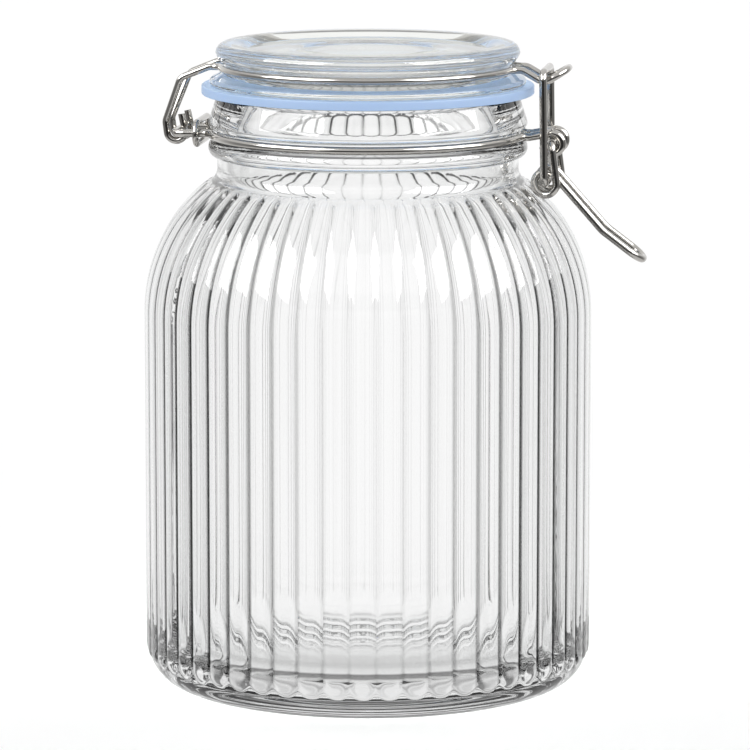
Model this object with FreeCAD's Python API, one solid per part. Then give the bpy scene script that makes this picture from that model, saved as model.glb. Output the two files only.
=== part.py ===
import FreeCAD, Part
import math
import os

os.makedirs("parts", exist_ok=True)
V = FreeCAD.Vector
MAX_KINK = 0.5         # degrees between two runs of a wire
VOLUME_TOL = 0.005     # of length times section

# ---- driving dimensions, in mm ------------------------------------------
# The jar stands on z = 0 with its axis on Z. The wire closure lies in the XZ
# plane: the hinge is on the -X side and the latch is on the +X side.

# ribbed body
BODY_R = 70.0          # over the crown of the ribs
RIB_DEPTH = 0.8        # crown to valley on the straight wall
RIB_DEPTH_TOP = 0.55   # crown to valley where the ribs crowd at the neck
RIB_COUNT = 54
RIB_END_LOW = 4.5      # length over which a rib rounds off at the heel
RIB_END_HIGH = 3.0     # the same at the neck
RIB_Z0 = 8.6           # lowest point of the ribs, on the heel
HEEL_R = 11.2          # heel rounding
SHOULDER_Z = 118.0     # straight wall ends here
SHOULDER_R = 51.5      # shoulder rounding over the crowns
SHOULDER_TURN = 52.6   # degrees of shoulder below the neck fillet
WALL = 3.6             # valley to inside
FLOOR_Z = 7.0          # inside floor
FLOOR_R = 12.0         # inside heel rounding
FOOT_IN = 54.5         # inner edge of the ring it stands on
PUNT_Z = 2.4           # rise of the underside at the middle
PUNT_FLAT = 6.0       # radius of the flat middle of the underside
FUSE_TOL = 0.001      # lets the ribs' end edges merge with the circles they meet

# neck and mouth
NECK_R = 47.0
BORE_R = 42.5
BEAD_R = 49.8
BEAD_Z = 169.4
BEAD_HALF = 2.5        # half height of the bead
GROOVE_R = 47.15       # bottom of the groove that holds the neck wire
LIP_LOW_R = 49.7
LIP_LOW_Z = 176.4
LIP_TOP_R = 47.4
RIM_Z = 185.7

# gasket
GASKET_IN = 42.2
GASKET_R = 51.8
GASKET_T = 2.7
SEAT_GAP = 0.1         # between the gasket and the rim below it
GASKET_Z = RIM_Z + SEAT_GAP

# lid
LID_Z = GASKET_Z + GASKET_T
FLANGE_R = 49.3
LID_GROOVE_R = 44.4
LID_R = 47.4
LID_EDGE = 3.0         # rounding of the upper edge
LID_TOP = 201.5
PLUG_R = 41.5
PLUG_Z = 184.0
HOLLOW_R = 36.5        # hollow under the lid
HOLLOW_Z = 192.6
DISH_R = 37.0          # dish on top of the lid
DISH_Z = 199.7
BOSS_R = 20.0          # shallow circle in the middle of the dish
BOSS_DROP = 0.5

# neck wire
NECK_WIRE = 2.5
NECK_RING_R = 48.85
WIRE_Z = 173.3
HINGE_X = -59.7
HINGE_HALF = 9.4       # half width of the loop that carries the hinge
LOOP_BEND = 3.0
EYE_X = 58.3
EYE_Z = 171.5
EYE_R = 3.1
EYE_Y = 5.4
EYE_SWEEP = 262.0

# tie ring round the two strands of the hinge loop
TIE_WIRE = 2.0
TIE_X = -52.5
TIE_HALF_Y = 12.1
TIE_HALF_Z = 3.4

# lid wire
LID_WIRE = 2.2
LID_RING_R = 45.9
LID_RING_Z = 194.1
ARM_Y = 8.2
ARM_TOP = (-57.7, 190.5)
ARM_LOW = (-63.0, 176.6)
HOOK_Y = 5.5
HOOK_R = 2.85
HOOK_END = (1.7, 5.6)  # free end, measured from the hinge line
STRAND_RUN = 1.1       # level run past the ring before a strand slopes down
STRAND_BEND = 3.0
TONGUE_Y = 6.5
VALLEY = (55.9, 190.2)
TONGUE_TIP = (62.6, 194.3)

# lever
LEVER_WIRE = 2.4
LEVER_Y = 8.2
COIL = (56.4, 159.2)
COIL_R = 3.5
COIL_STEP = 2.9        # sideways shift of one turn
HANDLE_BEND = (74.0, 144.6)
HANDLE_TIP = (86.2, 135.4)
HANDLE_ROUND = 9.0

# link
LINK_WIRE = 2.4
LINK_Y = 11.0
LINK_TOP = (55.9, 193.85)
LINK_BEND = 2.6


# ---- helpers --------------------------------------------------------------
def save(shape, name):
    shape.exportStep("parts/%s.step" % name)


def revolve(edges):
    face = Part.Face(Part.Wire(Part.__sortEdges__(edges)))
    solid = face.revolve(V(0, 0, 0), V(0, 0, 1), 360)
    return solid


def rz(r, z):
    return V(r, 0, z)


def line(a, b):
    return Part.makeLine(a, b)


def arc(centre, radius, a0, a1, u, v):
    """Arc in the plane of the unit vectors u and v, angles in degrees."""
    def at(angle):
        t = math.radians(angle)
        return centre + u * (radius * math.cos(t)) + v * (radius * math.sin(t))
    return Part.Arc(at(a0), at(0.5 * (a0 + a1)), at(a1)).toShape()


def arc_rz(r, z, radius, a0, a1):
    return arc(rz(r, z), radius, a0, a1, V(1, 0, 0), V(0, 0, 1))


def rounded(points, radii):
    """Edges of a path with straight runs and a rounded corner at each inner point."""
    edges = []
    start = points[0]
    for i in range(1, len(points) - 1):
        p = points[i]
        a = (start - p).normalize()
        b = (points[i + 1] - p).normalize()
        half = 0.5 * a.getAngle(b)
        reach = radii[i - 1] / math.tan(half)
        mid = (a + b).normalize()
        apex = p + mid * (radii[i - 1] / math.sin(half) - radii[i - 1])
        edges.append(line(start, p + a * reach))
        edges.append(Part.Arc(p + a * reach, apex, p + b * reach).toShape())
        start = p + b * reach
    edges.append(line(start, points[-1]))
    return edges


def rod(edges, diameter):
    """Round wire of one diameter swept along the edges, in order.
    A kink would shear the section, and a bend tighter than the wire would fold it."""
    for a, b in zip(edges, edges[1:]):
        turn = a.tangentAt(a.LastParameter).getAngle(b.tangentAt(b.FirstParameter))
        if math.degrees(turn) > MAX_KINK:
            raise ValueError("kink of %.1f degrees in a wire" % math.degrees(turn))
    path = Part.Wire(edges)
    first = edges[0]
    p = first.valueAt(first.FirstParameter)
    t = first.tangentAt(first.FirstParameter)
    ring = Part.Wire(Part.makeCircle(diameter / 2.0, p, t))
    wire = path.makePipeShell([ring], True, False)
    ideal = path.Length * math.pi * diameter ** 2 / 4.0
    if abs(wire.Volume - ideal) > VOLUME_TOL * ideal:
        raise ValueError("wire holds %.0f mm3 instead of %.0f" % (wire.Volume, ideal))
    return wire


def mirrored(edges):
    """The same edges on the other side of the XZ plane, in reverse order."""
    out = []
    for e in reversed(edges):
        a = e.valueAt(e.FirstParameter)
        b = e.valueAt(e.LastParameter)
        m = e.valueAt(0.5 * (e.FirstParameter + e.LastParameter))
        a, m, b = [V(p.x, -p.y, p.z) for p in (a, m, b)]
        if isinstance(e.Curve, (Part.Line, Part.LineSegment)):
            out.append(line(b, a))
        else:
            out.append(Part.Arc(b, m, a).toShape())
    return out


def to_ring(ring_r, half, bend, z, side):
    """Plan view of one strand at y = -half that leaves a ring on the given side.
    Gives the end of the straight strand, the bend and the angle on the ring."""
    cy = -(half + bend)
    cx = side * math.sqrt((ring_r + bend) ** 2 - (half + bend) ** 2)
    on_ring = math.degrees(math.atan2(cy, cx)) % 360
    centre = V(cx, cy, z)
    ring_pt = V(cx, cy, 0) * (ring_r / (ring_r + bend)) + V(0, 0, z)
    strand_pt = V(cx, -half, z)
    away = ((ring_pt - centre) + (strand_pt - centre)).normalize()
    apex = centre + away * bend
    return strand_pt, ring_pt, apex, on_ring


def tangent(px, pz, cx, cz, radius, turn):
    """Angle on a circle where the line from a point outside touches it."""
    d = math.hypot(px - cx, pz - cz)
    base = math.degrees(math.atan2(pz - cz, px - cx))
    return base + turn * math.degrees(math.acos(radius / d))


# ---- glass jar -------------------------------------------------------------
VALLEY_R = BODY_R - RIB_DEPTH
ARC_X = BODY_R - SHOULDER_R               # centre of the shoulder rounding
ARC_VALLEY = SHOULDER_R - RIB_DEPTH
HEEL_X = VALLEY_R - HEEL_R


def valley(s):
    """Point and outward normal of the valley line at the length s above RIB_Z0."""
    heel_a = math.asin((HEEL_R - RIB_Z0) / HEEL_R)
    heel_len = heel_a * HEEL_R
    wall_len = SHOULDER_Z - HEEL_R
    if s < heel_len:
        a = s / HEEL_R - heel_a
        return HEEL_X + HEEL_R * math.cos(a), HEEL_R + HEEL_R * math.sin(a), a
    if s < heel_len + wall_len:
        return VALLEY_R, HEEL_R + s - heel_len, 0.0
    a = (s - heel_len - wall_len) / ARC_VALLEY
    return ARC_X + ARC_VALLEY * math.cos(a), SHOULDER_Z + ARC_VALLEY * math.sin(a), a


RIB_LEN = (math.asin((HEEL_R - RIB_Z0) / HEEL_R) * HEEL_R + SHOULDER_Z - HEEL_R
           + math.radians(SHOULDER_TURN) * ARC_VALLEY)


def crown(s):
    """Height of the rib above the valley at the length s."""
    wall_end = RIB_LEN - math.radians(SHOULDER_TURN) * ARC_VALLEY
    t = max(0.0, (s - wall_end) / (RIB_LEN - wall_end))
    h = RIB_DEPTH + (RIB_DEPTH_TOP - RIB_DEPTH) * t
    for gap, length in ((s, RIB_END_LOW), (RIB_LEN - s, RIB_END_HIGH)):
        q = min(1.0, max(0.0, gap / length))
        h *= math.sqrt(1.0 - (1.0 - q) ** 2)
    return h


def rib_face(angle):
    """One rib from valley to valley, as one smooth face."""
    stops = [RIB_END_LOW * f for f in (0, 0.04, 0.12, 0.25, 0.45, 0.7, 1.0)]
    runs = 26
    body = RIB_LEN - RIB_END_LOW - RIB_END_HIGH
    stops += [RIB_END_LOW + body * (i + 1) / runs for i in range(runs)]
    stops += [RIB_LEN - RIB_END_HIGH * f for f in (0.7, 0.45, 0.25, 0.12, 0.04, 0)]
    half = math.pi / RIB_COUNT
    columns = ([], [], [])
    for s in stops:
        r, z, a = valley(s)
        h = crown(s)
        left = V(r * math.cos(angle - half), r * math.sin(angle - half), z)
        right = V(r * math.cos(angle + half), r * math.sin(angle + half), z)
        rr = r + h * math.cos(a)
        top = V(rr * math.cos(angle), rr * math.sin(angle), z + h * math.sin(a))
        for column, p in zip(columns, (left, top * 2 - (left + right) * 0.5, right)):
            column.append(p)
    curves = []
    for column in columns:
        curve = Part.BSplineCurve()
        curve.interpolate(Points=column, Parameters=stops)
        curves.append(curve)
    poles = [list(row) for row in zip(*[c.getPoles() for c in curves])]
    surface = Part.BSplineSurface()
    surface.buildFromPolesMultsKnots(poles, curves[0].getMultiplicities(), [3, 3],
                                     curves[0].getKnots(), [0.0, 1.0], False, False, 3, 2)
    return surface.toShape()


def ribbed_core():
    pitch = 2 * math.pi / RIB_COUNT
    base = rib_face(-math.pi / 2)
    faces = []
    for i in range(RIB_COUNT):
        f = base.copy()
        f.rotate(V(0, 0, 0), V(0, 0, 1), math.degrees(i * pitch))
        faces.append(f)
    r0, z0, _ = valley(0.0)
    r1, z1, _ = valley(RIB_LEN)
    shell = Part.makeShell(faces)
    shell.sewShape(0.001)
    loops = {z0: [], z1: []}
    for e in shell.Edges:
        a = e.valueAt(e.FirstParameter)
        b = e.valueAt(e.LastParameter)
        for z in loops:
            if abs(a.z - z) < 1e-3 and abs(b.z - z) < 1e-3:
                loops[z].append(e)
    caps = [Part.Face(Part.Wire(Part.__sortEdges__(loops[z]))) for z in (z0, z1)]
    closed = Part.makeShell(shell.Faces + caps)
    closed.sewShape(0.001)
    solid = Part.makeSolid(closed)
    if solid.Volume < 0:
        solid.reverse()
    return solid


def jar_glass():
    r0, z0, a0 = valley(0.0)
    r1, z1, a1 = valley(RIB_LEN)
    turn = math.degrees(a1)
    # heel and foot under the ribs
    sag = math.degrees(math.atan2(z0 - HEEL_R, r0 - HEEL_X))
    punt_r = FOOT_IN - 1.5
    punt_z = 0.5 * PUNT_Z
    mid_r = 0.5 * punt_r
    mid_z = punt_z + 0.75 * (PUNT_Z - punt_z)
    heel = revolve([
        line(rz(0, z0), rz(r0, z0)),
        arc_rz(HEEL_X, HEEL_R, HEEL_R, sag, -90),
        line(rz(HEEL_X, 0), rz(FOOT_IN, 0)),
        line(rz(FOOT_IN, 0), rz(punt_r, punt_z)),
        Part.Arc(rz(punt_r, punt_z), rz(mid_r, mid_z), rz(PUNT_FLAT, PUNT_Z)).toShape(),
        line(rz(PUNT_FLAT, PUNT_Z), rz(0, PUNT_Z)),
        line(rz(0, PUNT_Z), rz(0, z0)),
    ])
    # neck above the ribs
    fillet = (r1 - NECK_R) / (1 - math.cos(a1))
    fz = z1 + fillet * math.sin(a1)
    bead0 = BEAD_Z - BEAD_HALF - 0.7
    groove_low = WIRE_Z - 1.45
    groove_high = WIRE_Z + 1.45
    neck = revolve([
        line(rz(0, z1), rz(r1, z1)),
        arc_rz(NECK_R + fillet, fz, fillet, 180 + turn, 180),
        line(rz(NECK_R, fz), rz(NECK_R, bead0)),
        Part.Arc(rz(NECK_R, bead0), rz(BEAD_R, BEAD_Z), rz(GROOVE_R + 0.35, groove_low)).toShape(),
        Part.Arc(rz(GROOVE_R + 0.35, groove_low), rz(GROOVE_R, WIRE_Z),
                 rz(GROOVE_R + 0.35, groove_high)).toShape(),
        Part.Arc(rz(GROOVE_R + 0.35, groove_high), rz(LIP_LOW_R - 0.35, LIP_LOW_Z - 0.75),
                 rz(LIP_LOW_R, LIP_LOW_Z + 0.6)).toShape(),
        line(rz(LIP_LOW_R, LIP_LOW_Z + 0.6), rz(LIP_TOP_R, RIM_Z - 1.2)),
        Part.Arc(rz(LIP_TOP_R, RIM_Z - 1.2), rz(LIP_TOP_R - 0.42, RIM_Z - 0.32),
                 rz(LIP_TOP_R - 1.3, RIM_Z)).toShape(),
        line(rz(LIP_TOP_R - 1.3, RIM_Z), rz(0, RIM_Z)),
        line(rz(0, RIM_Z), rz(0, z1)),
    ])
    # the hollow
    wall_r = VALLEY_R - WALL
    in_r = ARC_VALLEY - WALL
    in_turn = math.radians(SHOULDER_TURN + 3.4)
    ex = ARC_X + in_r * math.cos(in_turn)
    ez = SHOULDER_Z + in_r * math.sin(in_turn)
    bore_fillet = (ex - BORE_R) / (1 - math.cos(in_turn))
    bz = ez + bore_fillet * math.sin(in_turn)
    deg = math.degrees(in_turn)
    hollow = revolve([
        line(rz(0, FLOOR_Z), rz(wall_r - FLOOR_R, FLOOR_Z)),
        arc_rz(wall_r - FLOOR_R, FLOOR_Z + FLOOR_R, FLOOR_R, -90, 0),
        line(rz(wall_r, FLOOR_Z + FLOOR_R), rz(wall_r, SHOULDER_Z)),
        arc_rz(ARC_X, SHOULDER_Z, in_r, 0, deg),
        arc_rz(BORE_R + bore_fillet, bz, bore_fillet, 180 + deg, 180),
        line(rz(BORE_R, bz), rz(BORE_R, RIM_Z - 1.2)),
        Part.Arc(rz(BORE_R, RIM_Z - 1.2), rz(BORE_R + 0.35, RIM_Z - 0.35),
                 rz(BORE_R + 1.2, RIM_Z)).toShape(),
        line(rz(BORE_R + 1.2, RIM_Z), rz(BORE_R + 1.2, RIM_Z + 5)),
        line(rz(BORE_R + 1.2, RIM_Z + 5), rz(0, RIM_Z + 5)),
        line(rz(0, RIM_Z + 5), rz(0, FLOOR_Z)),
    ])
    return ribbed_core().fuse([heel, neck], FUSE_TOL).cut(hollow)


# ---- gasket and glass lid ---------------------------------------------------
def gasket():
    ring = Part.makeCylinder(GASKET_R, GASKET_T, V(0, 0, GASKET_Z))
    ring = ring.cut(Part.makeCylinder(GASKET_IN, GASKET_T, V(0, 0, GASKET_Z)))
    outer = [e for e in ring.Edges if abs(e.BoundBox.XMax - GASKET_R) < 1e-4
             and e.BoundBox.ZLength < 1e-4]
    return ring.makeFillet(0.35, outer)


def lid_glass():
    groove_low = LID_RING_Z - 1.3
    groove_high = LID_RING_Z + 1.3
    edge_c = rz(LID_R - LID_EDGE, LID_TOP - LID_EDGE)
    low = rz(LID_R - 0.9, LID_RING_Z + 2.6)
    outline = [
        rz(0, HOLLOW_Z), rz(HOLLOW_R - 2, HOLLOW_Z), rz(HOLLOW_R, HOLLOW_Z - 2), rz(HOLLOW_R, PLUG_Z + 0.8),
        rz(HOLLOW_R + 0.8, PLUG_Z), rz(PLUG_R - 0.8, PLUG_Z), rz(PLUG_R, PLUG_Z + 0.8), rz(PLUG_R, LID_Z),
        rz(FLANGE_R - 0.8, LID_Z), rz(FLANGE_R, LID_Z + 0.8), rz(FLANGE_R, LID_Z + 1.3),
        rz(FLANGE_R - 1.2, LID_Z + 2.4), rz(LID_GROOVE_R + 0.5, groove_low),
    ]
    edges = []
    rounds = {1: (-1, 1), 3: (1, 1), 5: (-1, 1), 8: (-1, 1), 10: (-1, -1)}
    for i in range(len(outline) - 1):
        a, b = outline[i], outline[i + 1]
        if i in rounds and abs(a.x - b.x) > 1e-6 and abs(a.z - b.z) > 1e-6:
            mid = (a + b) * 0.5
            n = V(b.z - a.z, 0, a.x - b.x).normalize()
            bulge = 0.207 * (b - a).Length
            edges.append(Part.Arc(a, mid + n * bulge, b).toShape())
        else:
            edges.append(line(a, b))
    edges += [
        Part.Arc(outline[-1], rz(LID_GROOVE_R, LID_RING_Z), rz(LID_GROOVE_R + 0.5, groove_high)).toShape(),
        line(rz(LID_GROOVE_R + 0.5, groove_high), rz(LID_GROOVE_R + 1.2, groove_high + 0.4)),
        Part.Arc(rz(LID_GROOVE_R + 1.2, groove_high + 0.4), low,
                 rz(LID_R, LID_TOP - LID_EDGE)).toShape(),
        arc(edge_c, LID_EDGE, 0, 90, V(1, 0, 0), V(0, 0, 1)),
        line(rz(LID_R - LID_EDGE, LID_TOP), rz(LID_R - LID_EDGE - 1.2, LID_TOP)),
        Part.Arc(rz(LID_R - LID_EDGE - 1.2, LID_TOP),
                 rz(DISH_R + 2.4, DISH_Z + 0.75 * (LID_TOP - DISH_Z)),
                 rz(DISH_R, DISH_Z)).toShape(),
        line(rz(DISH_R, DISH_Z), rz(BOSS_R + 1.2, DISH_Z)),
        line(rz(BOSS_R + 1.2, DISH_Z), rz(BOSS_R, DISH_Z - BOSS_DROP)),
        line(rz(BOSS_R, DISH_Z - BOSS_DROP), rz(0, DISH_Z - BOSS_DROP)),
        line(rz(0, DISH_Z - BOSS_DROP), rz(0, HOLLOW_Z)),
    ]
    return revolve(edges)


# ---- wires ------------------------------------------------------------------
U_XZ = (V(1, 0, 0), V(0, 0, 1))


def eye(y):
    """Curled end of the neck wire, from its cut end to the strand, then to the neck."""
    start = tangent(51.0, WIRE_Z, EYE_X, EYE_Z, EYE_R, -1)
    centre = V(EYE_X, y, EYE_Z)
    curl = arc(centre, EYE_R, start - EYE_SWEEP, start, *U_XZ)
    t = math.radians(start)
    touch = centre + V(EYE_R * math.cos(t), 0, EYE_R * math.sin(t))
    return curl, touch


def neck_wire():
    strand_h, ring_h, apex_h, ang_h = to_ring(NECK_RING_R, HINGE_HALF, LOOP_BEND, WIRE_Z, -1)
    strand_l, ring_l, apex_l, ang_l = to_ring(NECK_RING_R, EYE_Y, 2.0, WIRE_Z, 1)
    curl, touch = eye(-EYE_Y)
    knee = V(51.0, -EYE_Y, WIRE_Z)
    run = rounded([touch, knee, strand_l], [2.5])
    ring = arc(V(0, 0, WIRE_Z), NECK_RING_R, ang_l, ang_h, V(1, 0, 0), V(0, 1, 0))
    front = [curl] + run + [
        Part.Arc(strand_l, apex_l, ring_l).toShape(),
        ring,
        Part.Arc(ring_h, apex_h, strand_h).toShape(),
    ]
    corner = V(HINGE_X, -HINGE_HALF, WIRE_Z)
    middle = V(HINGE_X, 0, WIRE_Z)
    front += rounded([strand_h, corner, middle], [LOOP_BEND])
    return rod(front + mirrored(front), NECK_WIRE)


def tie_ring():
    span = TIE_HALF_Y - TIE_HALF_Z
    ends = [V(TIE_X, span, WIRE_Z), V(TIE_X, -span, WIRE_Z)]
    u, v = V(0, 1, 0), V(0, 0, 1)
    edges = [
        line(V(TIE_X, 0, WIRE_Z - TIE_HALF_Z), V(TIE_X, span, WIRE_Z - TIE_HALF_Z)),
        arc(ends[0], TIE_HALF_Z, -90, 90, u, v),
        line(V(TIE_X, span, WIRE_Z + TIE_HALF_Z), V(TIE_X, -span, WIRE_Z + TIE_HALF_Z)),
        arc(ends[1], TIE_HALF_Z, 90, 270, u, v),
        line(V(TIE_X, -span, WIRE_Z - TIE_HALF_Z), V(TIE_X, 0, WIRE_Z - TIE_HALF_Z)),
    ]
    return rod(edges, TIE_WIRE)


def lid_wire():
    hx, hz = HINGE_X, WIRE_Z
    ex, ez = HOOK_END
    reach = math.hypot(ex, ez)
    leave = math.degrees(math.atan2(ez, ex)) - math.degrees(math.acos(HOOK_R / reach))
    meet = tangent(ARM_LOW[0], ARM_LOW[1], hx, hz, HOOK_R, 1)
    centre = V(hx, -HOOK_Y, hz)

    def on_hook(angle):
        t = math.radians(angle)
        return centre + V(HOOK_R * math.cos(t), 0, HOOK_R * math.sin(t))

    free = V(hx + ex, -HOOK_Y, hz + ez)
    strand_h, ring_h, apex_h, ang_h = to_ring(LID_RING_R, ARM_Y, LOOP_BEND, LID_RING_Z, -1)
    strand_t, ring_t, apex_t, ang_t = to_ring(LID_RING_R, TONGUE_Y, LOOP_BEND, LID_RING_Z, 1)
    front = [
        line(free, on_hook(leave)),
        arc(centre, HOOK_R, leave + 360, meet, *U_XZ),
    ]
    front += rounded([on_hook(meet), V(ARM_LOW[0], -HOOK_Y, ARM_LOW[1]),
                      V(ARM_TOP[0], -ARM_Y, ARM_TOP[1]),
                      strand_h - V(STRAND_RUN, 0, 0), strand_h], [3.0, 3.6, STRAND_BEND])
    front += [
        Part.Arc(strand_h, apex_h, ring_h).toShape(),
        arc(V(0, 0, LID_RING_Z), LID_RING_R, ang_h, ang_t, V(1, 0, 0), V(0, 1, 0)),
        Part.Arc(ring_t, apex_t, strand_t).toShape(),
    ]
    return front, strand_t


def lid_wire_rod():
    front, strand_t = lid_wire()
    tip = V(TONGUE_TIP[0], -TONGUE_Y, TONGUE_TIP[1])
    front += rounded([strand_t, strand_t + V(STRAND_RUN, 0, 0),
                      V(VALLEY[0], -TONGUE_Y, VALLEY[1]), tip,
                      V(TONGUE_TIP[0], 0, TONGUE_TIP[1])], [STRAND_BEND, 4.0, TONGUE_Y - 1.6])
    return rod(front + mirrored(front), LID_WIRE)


def lever():
    px, pz = EYE_X, EYE_Z
    cx, cz = COIL
    enter = tangent(px, pz, cx, cz, COIL_R, -1)
    leave = tangent(HANDLE_BEND[0], HANDLE_BEND[1], cx, cz, COIL_R, 1)
    sweep = (enter - leave) % 360

    def coil(t):
        a = math.radians(enter - sweep * t)
        ease = t * t * (3 - 2 * t)
        y = -LEVER_Y + COIL_STEP * ease
        return V(cx + COIL_R * math.cos(a), y, cz + COIL_R * math.sin(a))

    def heading(angle):
        t = math.radians(angle)
        return V(math.sin(t), 0, -math.cos(t)) * (COIL_R * math.radians(sweep))

    stops = [i / 24.0 for i in range(25)]
    turn = Part.BSplineCurve()
    turn.interpolate(Points=[coil(t) for t in stops], Parameters=stops,
                     InitialTangent=heading(enter), FinalTangent=heading(leave), Scale=False)
    inner = -LEVER_Y + COIL_STEP
    bend = V(HANDLE_BEND[0], inner, HANDLE_BEND[1])
    tip = V(HANDLE_TIP[0], inner, HANDLE_TIP[1])
    top = rounded([V(px, 0, pz), V(px, -LEVER_Y, pz), coil(0)], [2.2])
    tail = rounded([coil(1), bend, tip, V(HANDLE_TIP[0], 0, HANDLE_TIP[1])],
                   [HANDLE_ROUND, -inner - 0.4])
    half = rod(top + [turn.toShape()] + tail, LEVER_WIRE)
    other = half.mirror(V(0, 0, 0), V(0, 1, 0))
    return half.fuse(other)


def link():
    x0, z0 = COIL
    x1, z1 = LINK_TOP
    pts = [V(x0, 0, z0), V(x0, LINK_Y, z0), V(x1, LINK_Y, z1), V(x1, -LINK_Y, z1),
           V(x0, -LINK_Y, z0), V(x0, 0, z0)]
    return rod(rounded(pts, [LINK_BEND] * 4), LINK_WIRE)


# ---- write the parts ----------------------------------------------------------
PARTS = {
    "jar_glass": jar_glass,
    "neck_wire": neck_wire,
    "tie_ring": tie_ring,
    "lid_glass": lid_glass,
    "gasket": gasket,
    "lid_wire": lid_wire_rod,
    "lever": lever,
    "link": link,
}
for name, make in PARTS.items():
    shape = make()
    solids = shape.Solids
    print(name, "valid" if shape.isValid() else "NOT VALID", len(solids), "solid(s)",
          round(shape.Volume / 1000.0, 2), "cm3", len(shape.Faces), "faces")
    save(solids[0] if len(solids) == 1 else shape, name)
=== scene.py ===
# %% [markdown]
# # A ribbed glass storage jar with a wire closure
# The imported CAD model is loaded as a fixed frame. Its meshes are loose triangles, and
# glass shows every facet. So the three things that light bends or spreads through, which
# are the jar, its lid and the rubber ring, are modelled again here as whole, smoothly
# shaded meshes. The five wires stay as they are and only get a finish.

# %% Load the frame
import math

import bpy
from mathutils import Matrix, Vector


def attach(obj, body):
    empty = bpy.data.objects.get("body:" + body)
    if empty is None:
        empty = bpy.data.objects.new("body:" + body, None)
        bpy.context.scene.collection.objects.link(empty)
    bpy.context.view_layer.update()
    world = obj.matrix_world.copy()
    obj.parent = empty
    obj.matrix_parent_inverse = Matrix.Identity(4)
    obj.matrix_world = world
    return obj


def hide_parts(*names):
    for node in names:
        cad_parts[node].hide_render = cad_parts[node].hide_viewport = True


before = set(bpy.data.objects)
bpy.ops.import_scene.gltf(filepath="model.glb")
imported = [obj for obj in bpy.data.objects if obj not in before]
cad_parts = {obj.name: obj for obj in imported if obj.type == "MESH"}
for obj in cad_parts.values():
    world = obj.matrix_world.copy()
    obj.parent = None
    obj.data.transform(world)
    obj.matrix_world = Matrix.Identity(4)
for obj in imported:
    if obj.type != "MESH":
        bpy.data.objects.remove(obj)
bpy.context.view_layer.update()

MM = 0.001

# %% [markdown]
# ## Drawing an outline
# Jars and lids are round, so each is drawn once as an outline beside its axis and then
# turned into a solid. The outline could be typed in as a list of points, but then nobody
# could tell a wall from a rounding. Here a single point is extruded along lines and spun
# along arcs, which is what a glass mould's drawing shows.


# %% An outline that is drawn step by step
def deselect_all():
    bpy.ops.object.select_all(action="DESELECT")


class Outline:
    """A chain of edges in the XZ plane, drawn in millimetres from one starting point."""

    def __init__(self, name, x, z):
        deselect_all()
        bpy.ops.mesh.primitive_plane_add(size=MM)
        self.obj = bpy.context.object
        self.obj.name = self.obj.data.name = name
        bpy.ops.object.mode_set(mode="EDIT")
        bpy.ops.mesh.select_all(action="SELECT")
        bpy.ops.mesh.merge(type="CENTER")
        bpy.ops.transform.translate(value=(x * MM, 0, z * MM))
        self.x, self.z = x, z

    def line(self, x, z, steps=1):
        move = ((x - self.x) * MM / steps, 0, (z - self.z) * MM / steps)
        for _ in range(steps):
            bpy.ops.mesh.extrude_region_move(TRANSFORM_OT_translate={"value": move})
        self.x, self.z = x, z
        return self

    def arc(self, cx, cz, degrees, steps):
        """Turns about (cx, cz). Positive is from +X towards +Z."""
        bpy.ops.mesh.spin(steps=steps, angle=math.radians(degrees),
                          center=(cx * MM, 0, cz * MM), axis=(0, 1, 0))
        a = math.radians(degrees)
        dx, dz = self.x - cx, self.z - cz
        self.x = cx + dx * math.cos(a) - dz * math.sin(a)
        self.z = cz + dx * math.sin(a) + dz * math.cos(a)
        return self

    def through(self, mx, mz, x, z, steps):
        """The arc from here through (mx, mz) to (x, z)."""
        ax, az = self.x, self.z
        d = 2 * (ax * (mz - z) + mx * (z - az) + x * (az - mz))
        a2, m2, e2 = ax * ax + az * az, mx * mx + mz * mz, x * x + z * z
        cx = (a2 * (mz - z) + m2 * (z - az) + e2 * (az - mz)) / d
        cz = (a2 * (x - mx) + m2 * (ax - x) + e2 * (mx - ax)) / d
        start = math.atan2(az - cz, ax - cx)
        mid = (math.atan2(mz - cz, mx - cx) - start) % math.tau
        end = (math.atan2(z - cz, x - cx) - start) % math.tau
        turn = end if mid <= end else end - math.tau
        return self.arc(cx, cz, math.degrees(turn), steps)

    def turn_solid(self, degrees, steps):
        """Spins the whole outline about the Z axis and closes what meets."""
        bpy.ops.mesh.select_all(action="SELECT")
        bpy.ops.mesh.spin(steps=steps, angle=math.radians(degrees), center=(0, 0, 0),
                          axis=(0, 0, -1))
        close_up()
        return self.obj


def close_up():
    """Joins doubled points and turns all faces outwards, in edit mode."""
    bpy.ops.mesh.select_all(action="SELECT")
    bpy.ops.mesh.remove_doubles(threshold=2e-6)
    bpy.ops.mesh.normals_make_consistent(inside=False)
    bpy.ops.object.mode_set(mode="OBJECT")


def report(obj):
    size = [round(d / MM, 2) for d in obj.dimensions]
    faces = sum(len(p.vertices) - 2 for p in obj.data.polygons)
    print(f"{obj.name}: {faces} triangles, {size} mm")


# %% [markdown]
# ## The jar
# The ribs on the real jar are pressed by the mould: 54 round ridges that die out at the
# heel and under the neck, round a smooth inside. One could carve them with booleans, but
# that can leave torn faces, which glass would show. Instead one rib's slice of the jar is
# spun, its outer skin is pushed out with a Displace modifier whose strength fades at the
# rib's ends, and an Array round the axis makes the whole.

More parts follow.
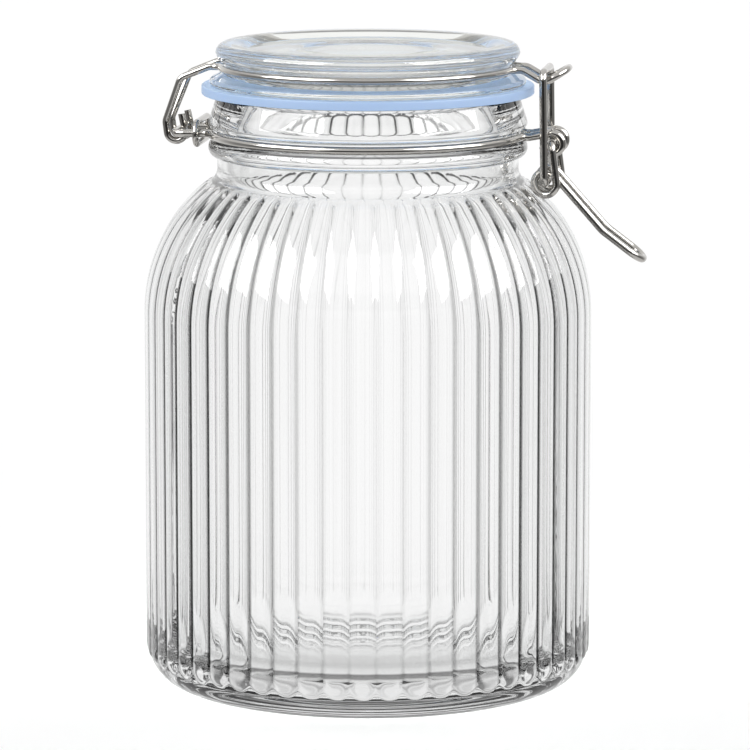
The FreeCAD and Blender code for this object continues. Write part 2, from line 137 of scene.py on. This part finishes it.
# %% Sizes of the jar, in mm
RIB_COUNT = 54
RIB_DEPTH, RIB_DEPTH_TOP = 0.8, 0.55
RIB_LOW, RIB_TOP_TURN = 8.6, 52.6
RIB_END_LOW, RIB_END_HIGH = 4.5, 3.0
RIB_POWER = 3.2   # 2 is a plain arc across, more is a flatter crown and a tighter groove
COLUMNS = 12
VALLEY_R, HEEL_R, SHOULDER_Z = 69.2, 11.2, 118.0
SHOULDER_X, SHOULDER_ARC = 18.5, 50.7
WALL, FLOOR_Z, FLOOR_R = 3.6, 7.0, 12.0
NECK_R, BORE_R, RIM_Z = 47.0, 42.5, 185.7
NECK_FOOT_Z = 166.2
RIM_ROUND, RIM_FLAT_R = 1.2, 46.1
SEAT_R, SEAT_Z = 49.7, 177.0        # foot of the cone under the rubber ring
GROOVE_R, GROOVE_TOP, GROOVE_LOW = 47.5, 174.75, 171.85   # where the neck wire lies
FOOT_R, FOOT_EDGE_R, FOOT_HOLLOW = 54.5, 53.0, 2.4
HEEL_X = VALLEY_R - HEEL_R
print("Outside of the wall between ribs:", 2 * VALLEY_R, "mm across")


# %% One slice of the jar
def neck_fillet(edge_r, neck_r, degrees):
    """Radius of the hollow rounding from a slope at edge_r up to a straight neck."""
    return (edge_r - neck_r) / (1 - math.cos(math.radians(degrees)))


def jar_inside(jar):
    """Up the inside, from the middle of the floor to the rim."""
    inner_r, inner_turn = VALLEY_R - WALL, RIB_TOP_TURN + 3.4
    jar.line(inner_r - FLOOR_R, FLOOR_Z, 3)
    jar.arc(inner_r - FLOOR_R, FLOOR_Z + FLOOR_R, 90, 12)
    jar.line(inner_r, SHOULDER_Z, 3)
    jar.arc(SHOULDER_X, SHOULDER_Z, inner_turn, 14)
    bore = neck_fillet(jar.x, BORE_R, inner_turn)
    jar.arc(BORE_R + bore, jar.z + bore * math.sin(math.radians(inner_turn)),
            -inner_turn, 8)
    jar.line(BORE_R, RIM_Z - RIM_ROUND, 3)


def jar_mouth(jar):
    """Over the rim and down the seat, the wire's groove and the bead below it."""
    jar.through(BORE_R + 0.35, RIM_Z - 0.35, BORE_R + RIM_ROUND, RIM_Z, 4)
    jar.line(RIM_FLAT_R, RIM_Z, 2)
    jar.through(RIM_FLAT_R + 0.88, RIM_Z - 0.32, RIM_FLAT_R + 1.3, RIM_Z - RIM_ROUND, 4)
    jar.line(SEAT_R, SEAT_Z, 4)
    jar.through(SEAT_R - 0.35, SEAT_Z - 1.35, GROOVE_R, GROOVE_TOP, 7)
    jar.through(GROOVE_R - 0.35, (GROOVE_TOP + GROOVE_LOW) / 2, GROOVE_R, GROOVE_LOW, 5)
    jar.through(SEAT_R + 0.1, 169.4, NECK_R, NECK_FOOT_Z, 10)


def jar_outside(jar):
    """Down the shoulder, the wall and the heel, and in under the foot."""
    fillet = neck_fillet(SHOULDER_X + SHOULDER_ARC * math.cos(math.radians(RIB_TOP_TURN)),
                         NECK_R, RIB_TOP_TURN)
    edge_z = SHOULDER_Z + SHOULDER_ARC * math.sin(math.radians(RIB_TOP_TURN))
    jar.line(NECK_R, edge_z + fillet * math.sin(math.radians(RIB_TOP_TURN)), 2)
    jar.arc(NECK_R + fillet, jar.z, RIB_TOP_TURN, 8)
    jar.arc(SHOULDER_X, SHOULDER_Z, -5, 9)
    jar.arc(SHOULDER_X, SHOULDER_Z, 5 - RIB_TOP_TURN, 18)
    jar.line(VALLEY_R, HEEL_R + 2.4, 3).line(VALLEY_R, HEEL_R, 3)
    low_turn = math.degrees(math.asin((HEEL_R - RIB_LOW) / HEEL_R))
    jar.arc(HEEL_X, HEEL_R, -low_turn, 6)
    jar.arc(HEEL_X, HEEL_R, low_turn - 90, 12)
    jar.line(FOOT_R, 0, 2).line(FOOT_EDGE_R, FOOT_HOLLOW / 2, 2)
    jar.through(26.5, 2.1, 6.0, FOOT_HOLLOW, 4)
    jar.line(0, FOOT_HOLLOW)


def jar_slice():
    jar = Outline("glass_jar", 0, FLOOR_Z)
    jar_inside(jar)
    jar_mouth(jar)
    jar_outside(jar)
    return jar.turn_solid(360 / RIB_COUNT, COLUMNS)


# %% Push the rib out of the slice
def along_rib(x, z):
    """How far (x, z) lies up the rib in mm and off the outer skin, and the rib's parts."""
    heel = math.asin((HEEL_R - RIB_LOW) / HEEL_R) * HEEL_R
    wall = SHOULDER_Z - HEEL_R
    if z < HEEL_R:
        off = math.hypot(x - HEEL_X, z - HEEL_R) - HEEL_R
        s = heel + math.asin((z - HEEL_R) / HEEL_R) * HEEL_R
    elif z <= SHOULDER_Z:
        off, s = x - VALLEY_R, heel + z - HEEL_R
    else:
        off = math.hypot(x - SHOULDER_X, z - SHOULDER_Z) - SHOULDER_ARC
        s = heel + wall + math.atan2(z - SHOULDER_Z, x - SHOULDER_X) * SHOULDER_ARC
    return s, off, heel + wall, math.radians(RIB_TOP_TURN) * SHOULDER_ARC


def rib_height(x, z, across):
    """Height in mm of the rib over the point (x, z). Across is 0 on its crown."""
    if x < NECK_R or z < RIB_LOW - 1e-3:
        return 0.0
    s, off, straight, arch = along_rib(x, z)
    if abs(off) > 0.02 or s > straight + arch:
        return 0.0
    height = RIB_DEPTH + (RIB_DEPTH_TOP - RIB_DEPTH) * max(0, s - straight) / arch
    # each end closes like a fingertip
    for gap, length in ((s, RIB_END_LOW), (straight + arch - s, RIB_END_HIGH)):
        open_part = math.sqrt(1 - (1 - min(1, max(0, gap / length))) ** 2)
        if open_part <= across:
            return 0.0
        across /= open_part
        height *= open_part
    return height * (1 - across ** RIB_POWER)


def push_rib(piece):
    """Gives each point of the outer skin its share of the rib, then displaces."""
    group = piece.vertex_groups.new(name="rib")
    half = math.pi / RIB_COUNT
    for v in piece.data.vertices:
        r = math.hypot(v.co.x, v.co.y)
        if r < 1e-6:
            continue
        across = min(1, abs(math.atan2(v.co.y, v.co.x) - half) / half)
        share = rib_height(r / MM, v.co.z / MM, across) / RIB_DEPTH
        if share > 0:
            group.add([v.index], share, "REPLACE")
    rib = piece.modifiers.new("rib", "DISPLACE")
    rib.vertex_group, rib.mid_level, rib.strength = "rib", 0.0, RIB_DEPTH * MM
    bpy.ops.object.modifier_apply(modifier=rib.name)


# %% Repeat the slice round the jar
def array_round(piece, count):
    deselect_all()
    bpy.ops.object.empty_add(rotation=(0, 0, math.tau / count))
    turn = bpy.context.object
    deselect_all()
    piece.select_set(True)
    bpy.context.view_layer.objects.active = piece
    ring = piece.modifiers.new("ring", "ARRAY")
    ring.count = count
    ring.use_relative_offset, ring.use_object_offset = False, True
    ring.offset_object = turn
    bpy.ops.object.modifier_apply(modifier=ring.name)
    bpy.data.objects.remove(turn)


jar = jar_slice()
push_rib(jar)
array_round(jar, RIB_COUNT)
# joins the slices, which meet in the grooves
bpy.ops.object.mode_set(mode="EDIT")
close_up()
jar.vertex_groups.clear()
SHARP = math.radians(34)   # an edge that turns more than this stays sharp
bpy.ops.object.shade_smooth_by_angle(angle=SHARP)
report(jar)

# %% [markdown]
# ## The lid
# The lid is a thick pressed disc with a groove for its wire, a dish on top and a hollow
# below. One could stack cylinders and bevel them, but the roundings run into each other.
# It is a plain turned shape, so one outline is spun all the way round.

# %% Turn the lid
LID_STEPS = 216
HOLLOW_Z, PLUG_LOW_Z, LID_EDGE_LOW_Z = 192.6, 184.0, 188.5
TOP_ROUND_Z, DISH_Z, DISH_STEP_Z = 198.5, 199.2, 199.7
TOP_RIM_Z = 201.5
lid = Outline("glass_lid", 0, HOLLOW_Z)
# the hollow and the plug that reaches down into the mouth
lid.line(34.5, HOLLOW_Z, 4).through(35.91, 192.01, 36.5, 190.6, 8)
lid.line(36.5, 184.8, 3).through(36.73, 184.23, 37.3, PLUG_LOW_Z, 3)
lid.line(40.7, PLUG_LOW_Z, 2).through(41.27, 184.23, 41.5, 184.8, 3)
# the flat that presses on the rubber ring, and the edge beside it
lid.line(41.5, LID_EDGE_LOW_Z, 2).line(48.5, LID_EDGE_LOW_Z, 3)
lid.through(49.07, 188.73, 49.3, 189.3, 4)
lid.line(49.3, 189.8, 1).through(48.95, 190.55, 48.1, 190.9, 5)
# the groove for the wire
lid.line(44.9, 192.8, 3).through(44.4, 194.1, 44.9, 195.4, 10)
# the thick round rim on top
lid.line(45.6, 195.8, 1).through(46.5, 196.7, 47.4, TOP_ROUND_Z, 10)
lid.arc(44.4, TOP_ROUND_Z, 90, 18)
# the dish, with a step round its middle
lid.line(43.2, TOP_RIM_Z, 1).through(39.4, 201.05, 37.0, DISH_STEP_Z, 12)
lid.line(21.2, DISH_STEP_Z, 4).line(20.0, DISH_Z, 2).line(0, DISH_Z, 5)
glass_lid = lid.turn_solid(360, LID_STEPS)
bpy.ops.object.shade_smooth_by_angle(angle=SHARP)
report(glass_lid)

# %% [markdown]
# ## The rubber ring
# A flat ring, pressed between the lid and the rim. A Bevel modifier could soften its
# corners, but the outline is spun anyway, so both outer corners are rounded in it,
# because a sharp corner on rubber always looks wrong.

# %% Turn the ring
RING_STEPS = 144
RING_IN_R, RING_OUT_R, RING_CORNER = 42.2, 51.8, 0.4
RING_LOW_Z, RING_TOP_Z = 185.8, 188.5
corner_r = RING_OUT_R - RING_CORNER
ring = Outline("rubber_ring", RING_IN_R, RING_LOW_Z)
ring.line(corner_r, RING_LOW_Z, 3).arc(corner_r, RING_LOW_Z + RING_CORNER, 90, 5)
ring.line(RING_OUT_R, RING_TOP_Z - RING_CORNER, 1)
ring.arc(corner_r, RING_TOP_Z - RING_CORNER, 90, 5)
ring.line(RING_IN_R, RING_TOP_Z, 3).line(RING_IN_R, RING_LOW_Z, 1)
rubber_ring = ring.turn_solid(360, RING_STEPS)
bpy.ops.object.shade_smooth_by_angle(angle=math.radians(40))
report(rubber_ring)

# %% [markdown]
# ## Finishes
# Pressed glass is never quite flat: its skin has slow waves from the mould. That effect
# is needed on both glass pieces, so it is one node group, placed in each material with
# its own size. Drawn wire has fine marks and small changes in polish, in a second group.


# %% Small helpers for node trees
class Tree:
    """Adds nodes to one node tree and wires their inputs in the same step."""

    def __init__(self, tree):
        self.nodes, self.link = tree.nodes, tree.links.new

    def feed(self, socket, value):
        if isinstance(value, bpy.types.NodeSocket):
            self.link(value, socket)
        else:
            socket.default_value = value

    def maths(self, operation, *values):
        node = self.nodes.new("ShaderNodeMath")
        node.operation = operation
        for socket, value in zip(node.inputs, values):
            self.feed(socket, value)
        return node.outputs[0]

    def ramp(self, value, stops, top):
        """A grey ramp over 0 to top."""
        node = self.nodes.new("ShaderNodeValToRGB")
        while len(node.color_ramp.elements) < len(stops):
            node.color_ramp.elements.new(0.5)
        for element, (place, grey) in zip(node.color_ramp.elements, stops):
            element.position, element.color = place / top, (grey, grey, grey, 1)
        self.link(self.maths("DIVIDE", value, top), node.inputs["Fac"])
        return node.outputs["Color"]

    def mix(self, factor, first, second, blend="MIX"):
        node = self.nodes.new("ShaderNodeMix")
        node.data_type, node.blend_type = "RGBA", blend
        for name, value in (("Factor", factor), ("A", first), ("B", second)):
            self.feed(node.inputs[name], value)
        return node.outputs["Result"]

    def place(self):
        """Object coordinates as separate X, Y and Z."""
        where = self.nodes.new("ShaderNodeTexCoord")
        split = self.nodes.new("ShaderNodeSeparateXYZ")
        self.link(where.outputs["Object"], split.inputs["Vector"])
        return split.outputs


# %% A node group for slow waves and a changing polish
def surface_group(name, scale, detail):
    """A group with Size, Height, Low and High in; Normal and Roughness out."""
    group = bpy.data.node_groups.new(name, "ShaderNodeTree")
    for label, value in (("Size", 1.0), ("Height", 0.1), ("Low", 0.0), ("High", 0.1)):
        socket = group.interface.new_socket(label, in_out="INPUT",
                                            socket_type="NodeSocketFloat")
        socket.default_value = value
    group.interface.new_socket("Normal", in_out="OUTPUT", socket_type="NodeSocketVector")
    group.interface.new_socket("Roughness", in_out="OUTPUT", socket_type="NodeSocketFloat")
    nodes, link = group.nodes, group.links.new
    given, out = nodes.new("NodeGroupInput"), nodes.new("NodeGroupOutput")
    where = nodes.new("ShaderNodeTexCoord")
    stretch = nodes.new("ShaderNodeMapping")
    stretch.inputs["Scale"].default_value = scale
    noise = nodes.new("ShaderNodeTexNoise")
    noise.inputs["Detail"].default_value = detail
    bump = nodes.new("ShaderNodeBump")
    bump.inputs["Distance"].default_value = MM
    spread = nodes.new("ShaderNodeMapRange")
    link(where.outputs["Object"], stretch.inputs["Vector"])
    link(stretch.outputs["Vector"], noise.inputs["Vector"])
    link(given.outputs["Size"], noise.inputs["Scale"])
    link(noise.outputs["Fac"], bump.inputs["Height"])
    link(given.outputs["Height"], bump.inputs["Strength"])
    link(noise.outputs["Fac"], spread.inputs["Value"])
    link(given.outputs["Low"], spread.inputs["To Min"])
    link(given.outputs["High"], spread.inputs["To Max"])
    link(bump.outputs["Normal"], out.inputs["Normal"])
    link(spread.outputs["Result"], out.inputs["Roughness"])
    return group


pressed_skin = surface_group("pressed_skin", (1, 1, 0.5), 1.0)
drawn_skin = surface_group("drawn_skin", (1, 1, 1), 5.0)
print("Groups:", pressed_skin.name, drawn_skin.name)


# %% A material that places a group
def material(name, skin, size, height, low, high):
    mat = bpy.data.materials.new(name)
    mat.use_nodes = True
    tree = mat.node_tree
    shader = tree.nodes["Principled BSDF"]
    marks = tree.nodes.new("ShaderNodeGroup")
    marks.node_tree = skin
    for label, value in (("Size", size), ("Height", height), ("Low", low), ("High", high)):
        marks.inputs[label].default_value = value
    tree.links.new(marks.outputs["Normal"], shader.inputs["Normal"])
    tree.links.new(marks.outputs["Roughness"], shader.inputs["Roughness"])
    return mat, tree, shader


# %% [markdown]
# ### Painted shade in the grooves
# Between two ribs the mould leaves a tight groove. On the real jar it shows as a thin
# dark line, most of all where the wall turns away from the viewer. The bent mesh alone
# draws those lines too pale, so a group measures how near a point lies to the middle of a
# groove, and painted shade darkens the glass there. This is painted shade in the glass's
# colour and not a true bend of light. It counts on the outer skin alone, told apart by its
# distance from the circle that the shoulder is drawn about.


# %% How near a point is to a groove
BETWEEN_SKINS = 49.0   # mm from the shoulder's circle: the inner skin is nearer than this


def groove_group():
    group = bpy.data.node_groups.new("groove_shade_mask", "ShaderNodeTree")
    group.interface.new_socket("Mask", in_out="OUTPUT", socket_type="NodeSocketFloat")
    tree = Tree(group)
    place = tree.place()
    radius = tree.maths("SQRT", tree.maths("ADD", tree.maths("POWER", place["X"], 2.0),
                                           tree.maths("POWER", place["Y"], 2.0)))
    beside = tree.maths("SUBTRACT", radius, SHOULDER_X * MM)
    above = tree.maths("MAXIMUM", tree.maths("SUBTRACT", place["Z"], SHOULDER_Z * MM), 0.0)
    reach = tree.maths("SQRT", tree.maths("ADD", tree.maths("POWER", beside, 2.0),
                                          tree.maths("POWER", above, 2.0)))
    outer = tree.maths("GREATER_THAN", reach, BETWEEN_SKINS * MM)
    turn = tree.maths("ARCTAN2", place["Y"], place["X"])
    ribs = tree.maths("MULTIPLY", tree.maths("ADD", turn, math.pi / 2),
                      RIB_COUNT / math.tau)
    across = tree.maths("MULTIPLY", tree.maths("PINGPONG", ribs, 0.5), 2.0)
    # across the rib: the painted shade lies near the middle of the groove
    line = tree.ramp(across, ((0, 0), (0.76, 0), (0.86, 0.8), (0.93, 1.0)), 1.0)
    # fades out with the ribs at both ends
    ends = tree.ramp(place["Z"], ((0.009, 0), (0.014, 1), (0.150, 1), (0.158, 0)), 0.2)
    mask = tree.maths("MULTIPLY", tree.maths("MULTIPLY", outer, line), ends)
    out = group.nodes.new("NodeGroupOutput")
    group.links.new(mask, out.inputs["Mask"])
    return group


grooves = groove_group()
print("Group:", grooves.name, "for", RIB_COUNT, "grooves")

# %% [markdown]
# ### Clear glass
# Clear glass looks pale face on, and darker and greener at its edges, where the light
# passes a long way through it. A volume inside the glass could do that. Here Layer
# Weight, which knows what is seen edge on, chooses between two tints, so that each piece
# keeps one plain shader. The edge tint is partly the glass's own green and partly painted
# shade, which darkens the glass where it is seen edge on. Such glass blocks lamps, so for
# shadow rays it is swapped for a Transparent shader. The last cell gives the jar and the
# lid their own tints.


# %% Glass
# both ramps: (how far edge on, how much of the dark tint)
EDGE_ON = ((0, 0), (0.5, 0.08), (0.84, 0.20), (0.96, 0.85), (1, 1))
GROOVE_SHADE_STRENGTH = ((0, 0.04), (0.03, 0.12), (0.06, 0.30), (0.105, 0.52), (0.165, 0.75),
                   (0.23, 0.9), (0.3, 1.0))
# painted shade: the colour that darkens the glass in each groove
GROOVE_PAINTED_SHADE = (0.003, 0.0033, 0.0033, 1)
SHADE_UNDER_GLASS = (0.93, 0.95, 0.94, 1)


def clear_glass(name, face, edge, size, height, grooved=False):
    mat, tree, shader = material(name, pressed_skin, size, height, 0.0, 0.004)
    nodes, link, kit = tree.nodes, tree.links.new, Tree(tree)
    shader.inputs["Transmission Weight"].default_value = 1.0
    shader.inputs["IOR"].default_value = 1.5
    angle = nodes.new("ShaderNodeLayerWeight")
    angle.inputs["Blend"].default_value = 0.5
    edge_on = kit.ramp(angle.outputs["Facing"], EDGE_ON, 1.0)
    # the edge tint: the glass's own green and painted shade, where the glass is seen edge on
    tint = kit.mix(edge_on, (*face, 1), (*edge, 1))
    path = nodes.new("ShaderNodeLightPath")
    if grooved:
        mask = nodes.new("ShaderNodeGroup")
        mask.node_tree = grooves
        # the slant of the round wall itself, not of the rib's flank
        place, wall = kit.place(), nodes.new("ShaderNodeCombineXYZ")
        outward, slant = nodes.new("ShaderNodeVectorMath"), nodes.new("ShaderNodeLayerWeight")
        outward.operation = "NORMALIZE"
        link(place["X"], wall.inputs["X"])
        link(place["Y"], wall.inputs["Y"])
        link(wall.outputs["Vector"], outward.inputs[0])
        link(outward.outputs["Vector"], slant.inputs["Normal"])
        slant.inputs["Blend"].default_value = 0.5
        # only where a ray enters the skin, because the far wall's lines came out too dark
        side = nodes.new("ShaderNodeNewGeometry").outputs["Backfacing"]
        strength = kit.maths("MULTIPLY", kit.maths("SUBTRACT", 1.0, side),
                             kit.ramp(slant.outputs["Facing"], GROOVE_SHADE_STRENGTH, 1.0))
        # painted shade: the groove darkens the glass's colour, more where the wall turns away
        tint = kit.mix(kit.maths("MULTIPLY", mask.outputs["Mask"], strength), tint,
                       GROOVE_PAINTED_SHADE)
    link(tint, shader.inputs["Base Color"])
    clear = nodes.new("ShaderNodeBsdfTransparent")
    clear.inputs["Color"].default_value = SHADE_UNDER_GLASS
    swap = nodes.new("ShaderNodeMixShader")
    link(path.outputs["Is Shadow Ray"], swap.inputs[0])
    link(shader.outputs["BSDF"], swap.inputs[1])
    link(clear.outputs["BSDF"], swap.inputs[2])
    link(swap.outputs["Shader"], nodes["Material Output"].inputs["Surface"])
    return mat


# %% The jar's and the lid's glass
# edge: the glass's own green with painted shade, where each piece is seen edge on
jar_finish = clear_glass("jar_finish", face=(1.0, 1.0, 1.0), edge=(0.30, 0.35, 0.335),
                         size=45, height=0.02, grooved=True)
lid_finish = clear_glass("lid_finish", face=(0.965, 0.972, 0.95), edge=(0.24, 0.28, 0.20),
                         size=35, height=0.015)
print("Glass:", jar_finish.name, lid_finish.name)

# %% [markdown]
# ### Rubber and wire
# Moulded rubber lets a little light in, so it gets a thin Subsurface and a fine grain.
# The wire is polished steel with drawing marks. An image of scratches could do for both,
# but the group above makes such marks without any file, so it is placed in each.

# %% Pale blue rubber
rubber_finish, _, rubber = material("rubber_finish", drawn_skin, size=900, height=0.12,
                                    low=0.38, high=0.55)
rubber.inputs["Base Color"].default_value = (0.40, 0.555, 0.81, 1)
rubber.inputs["Subsurface Weight"].default_value = 0.25
rubber.inputs["Subsurface Radius"].default_value = (0.6, 0.8, 1.0)
rubber.inputs["Subsurface Scale"].default_value = MM
print("Rubber:", rubber_finish.name)

# %% Drawn steel wire
wire_finish, _, steel = material("wire_finish", drawn_skin, size=900, height=0.02,
                                 low=0.08, high=0.20)
steel.inputs["Base Color"].default_value = (0.50, 0.485, 0.46, 1)
steel.inputs["Metallic"].default_value = 1.0
print("Steel:", wire_finish.name)

# %% [markdown]
# ## Putting the finishes on
# A finish is put on by filling an object's material slots. The wires are parts of the
# frame, so only their finish changes. Each new piece hides the frame's part that it
# stands for, and rides on that part's body, so that the lid still opens.


# %% Put the finishes on
def finish(obj, mat):
    obj.data.materials.clear()
    obj.data.materials.append(mat)


WIRES = ("neck_wire", "tie_ring", "lid_wire", "lever", "link")
for name in WIRES:
    finish(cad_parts[name], wire_finish)
print("Steel put on:", ", ".join(WIRES))

for piece, node, body, mat in ((jar, "jar_glass", "jar", jar_finish),
                               (glass_lid, "lid_glass", "lid", lid_finish),
                               (rubber_ring, "gasket", "lid", rubber_finish)):
    finish(piece, mat)
    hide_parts(node)
    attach(piece, body)

# %% [markdown]
# ## The studio
# Clear glass has no colour of its own, so it is the room that draws it. A white room
# makes it vanish, and dark walls at the sides darken the ribs' flanks. Walls could be
# built, but most rays through the jar would meet the white floor before them. So the
# walls are painted on the world by compass direction, and rays that come through glass
# or off steel pass the floor by. The camera sees plain white behind the jar.

# %% Floor
deselect_all()
bpy.ops.mesh.primitive_circle_add(vertices=96, radius=7, fill_type="NGON")
floor = bpy.context.object
floor.name = "studio_floor"
floor_white = bpy.data.materials.new("floor_white")
floor_white.use_nodes = True
matt = floor_white.node_tree.nodes["Principled BSDF"]
matt.inputs["Base Color"].default_value = (0.97, 0.97, 0.97, 1)
matt.inputs["Roughness"].default_value = 0.9
matt.inputs["Specular IOR Level"].default_value = 0.0
floor.data.materials.append(floor_white)
floor.visible_transmission = floor.visible_glossy = False
print("Floor:", round(floor.dimensions.x, 2), "m across")

# %% Walls, painted by direction
VIEW_TURN = 8   # degrees that the viewer stands to the right of -Y
# how light the room is: by degrees away from the line of sight, and by height
BEHIND = ((0, 1.0), (15, 1.0), (19, 0.82), (24, 0.80), (30, 0.95), (38, 0.55), (44, 0.7),
          (49, 0.95), (55, 0.88), (58, 0.10), (67, 0.10), (71, 0.80), (90, 0.92))
SHADES = ((0, 0.85), (0.30, 0.75), (0.40, 0.22), (0.50, 0.22), (0.54, 1.0), (1.20, 1.0),
          (1.23, 0.06), (1.38, 0.06), (1.46, 0.80), (2, 0.85))
# the same for what the steel mirrors: by degrees away from straight behind the jar
MIRRORED = ((0, 1.0), (40, 0.9), (68, 0.35), (100, 0.20), (138, 0.26), (150, 0.03),
            (180, 0.03))
MIRRORED_LIFT = ((0, 0.0), (0.22, 0.0), (0.42, 0.85), (1.2, 0.85))
scene = bpy.context.scene
world = bpy.data.worlds.new("painted_room")
scene.world = world
world.use_nodes = True
room = Tree(world.node_tree)
place = room.place()
compass = room.maths("DEGREES", room.maths("ARCTAN2", place["X"], place["Y"]))
turned = room.maths("ADD", compass, VIEW_TURN)
# 0 to 90 degrees from the line of sight, the same in front of and behind the jar
aside = room.maths("PINGPONG", room.maths("ADD", turned, 360), 90)
through = room.ramp(aside, BEHIND, 90)
# thick rims bend light up and down, where a shade above and below draws level streaks
above = room.ramp(room.maths("ADD", place["Z"], 1.0), SHADES, 2)
through = room.mix(1.0, through, above, "MULTIPLY")
# what mirrors see: bright behind the jar, nearly black on the viewer's own side
back = room.maths("ABSOLUTE", room.maths("WRAP", turned, 180, -180))
walls = room.ramp(back, MIRRORED, 180)
height = room.maths("ABSOLUTE", room.maths("ADD", place["Z"], 0.12))
lift = room.ramp(height, MIRRORED_LIFT, 1.2)
mirror = room.mix(1.0, walls, lift, "LIGHTEN")

# %% Which ray sees which wall
path = room.nodes.new("ShaderNodeLightPath")
seen = room.mix(path.outputs["Is Glossy Ray"], (1.04, 1.04, 1.04, 1), mirror)
seen = room.mix(path.outputs["Is Transmission Ray"], seen, through)
seen = room.mix(path.outputs["Is Camera Ray"], seen, (1, 1, 1, 1))
room.link(seen, room.nodes["Background"].inputs["Color"])
print("World:", world.name, "with", len(world.node_tree.nodes), "nodes")

# %% [markdown]
# ### Softboxes
# A sphere of even light gives glass no highlight. Two large area lamps, one on each side
# and above, do. They are hidden from soft light and from rays through the glass, so they
# add highlights and leave the colours as the room gives them.


# %% Two softboxes
SOFTBOX = dict(elevation=33, distance=1.1, width=1.0, height=0.64, power=16)


def softbox(name, azimuth, elevation, distance, width, height, power):
    a, e = math.radians(azimuth), math.radians(elevation)
    away = Vector((math.sin(a) * math.cos(e), -math.cos(a) * math.cos(e), math.sin(e)))
    deselect_all()
    bpy.ops.object.light_add(type="AREA", location=away * distance + Vector((0, 0, 0.12)))
    lamp = bpy.context.object
    lamp.name = name
    lamp.rotation_euler = away.to_track_quat("Z", "Y").to_euler()
    lamp.data.shape, lamp.data.size, lamp.data.size_y = "RECTANGLE", width, height
    lamp.data.energy = power
    lamp.visible_diffuse = lamp.visible_transmission = False
    print(name, "at", [round(c, 2) for c in lamp.location], "m")


softbox("softbox_left", VIEW_TURN - 61, **SOFTBOX)
softbox("softbox_right", VIEW_TURN + 63, **SOFTBOX)

# %% [markdown]
# ## Camera
# The jar is seen from a little above and slightly from the right. A wide lens close by
# would make the foot look much smaller than the lid, so the camera stands well back with
# a long lens.

# %% Camera
CAMERA_AWAY, CAMERA_UP, CAMERA_TURN = 1.6, 0.36, math.radians(VIEW_TURN)
AIM_SIDE, AIM_UP, LENS = 0.0022, 0.0967, 247.8
bpy.ops.object.camera_add(location=(CAMERA_AWAY * math.sin(CAMERA_TURN),
                                    -CAMERA_AWAY * math.cos(CAMERA_TURN), CAMERA_UP))
camera = bpy.context.object
aim = Vector((AIM_SIDE * math.cos(CAMERA_TURN), AIM_SIDE * math.sin(CAMERA_TURN), AIM_UP))
camera.rotation_euler = (camera.location - aim).to_track_quat("Z", "Y").to_euler()
camera.data.sensor_width, camera.data.lens = 36, LENS
camera.data.clip_end = 50
scene.camera = camera
scene.view_settings.view_transform = "Standard"
# light runs round inside thick glass many times before it leaves
scene.cycles.max_bounces, scene.cycles.transmission_bounces = 18, 16
scene.cycles.glossy_bounces = 10
print("Camera:", [round(c, 3) for c in camera.location], "m, lens", LENS)
